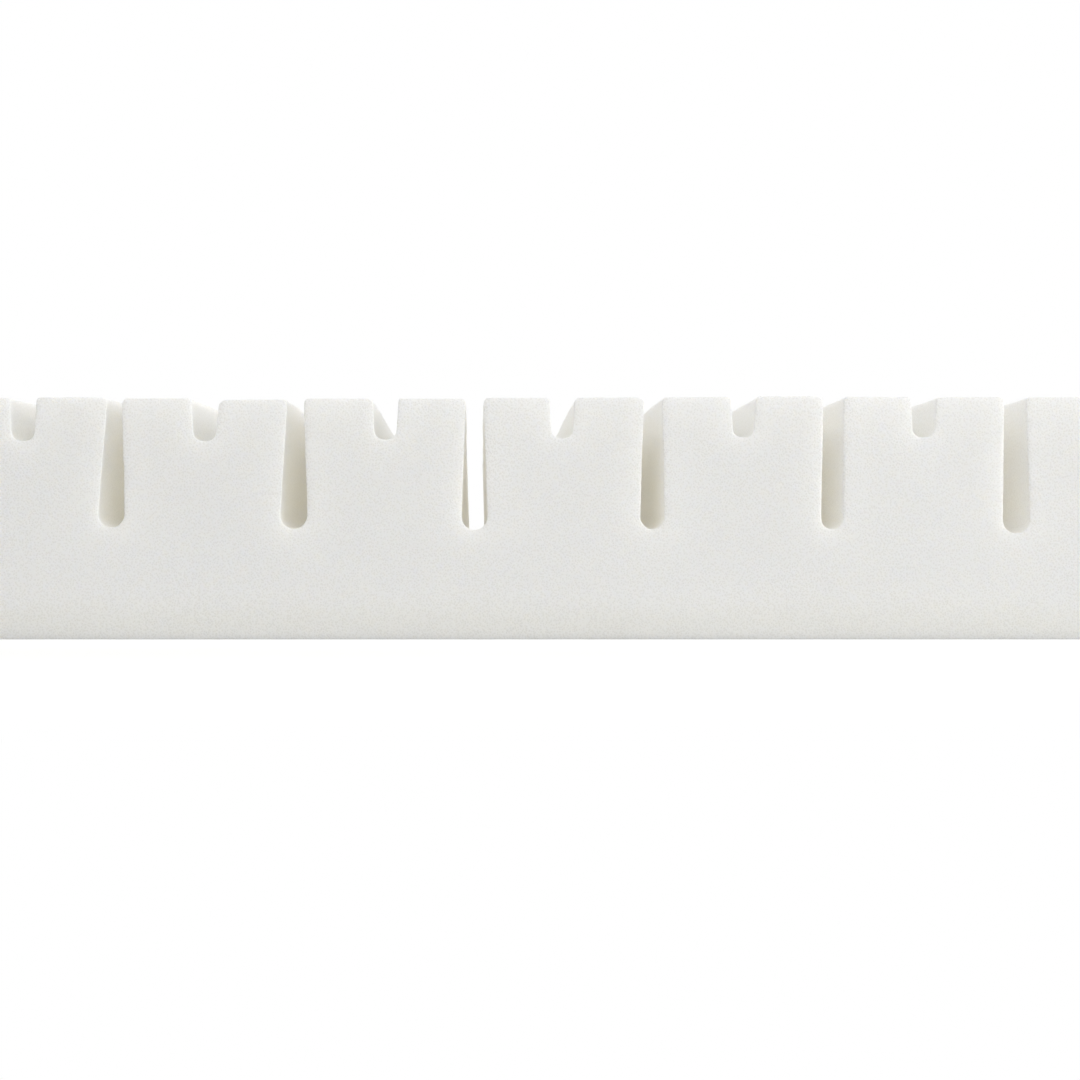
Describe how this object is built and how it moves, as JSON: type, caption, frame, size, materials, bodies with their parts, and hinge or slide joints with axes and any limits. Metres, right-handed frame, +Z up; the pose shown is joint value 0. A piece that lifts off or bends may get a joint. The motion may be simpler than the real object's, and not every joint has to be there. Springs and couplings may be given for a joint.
{
  "type": "crib mattress",
  "caption": "Bare foam core of a crib mattress, a flat slab whose top is cut across by deep round-footed slots and shallow grooves in turn.",
  "frame": {"origin": "middle of the underside", "axes": "+X along the mattress's length, +Y across its width, away from the side that the picture shows, +Z up out of the cut top"},
  "size_m": [1.2, 0.6, 0.0813],
  "materials": {
    "foam": "matte white open-cell foam, fine grained"
  },
  "bodies": {
    "root": {"foam_block": "foam"}
  },
  "joints": []
}
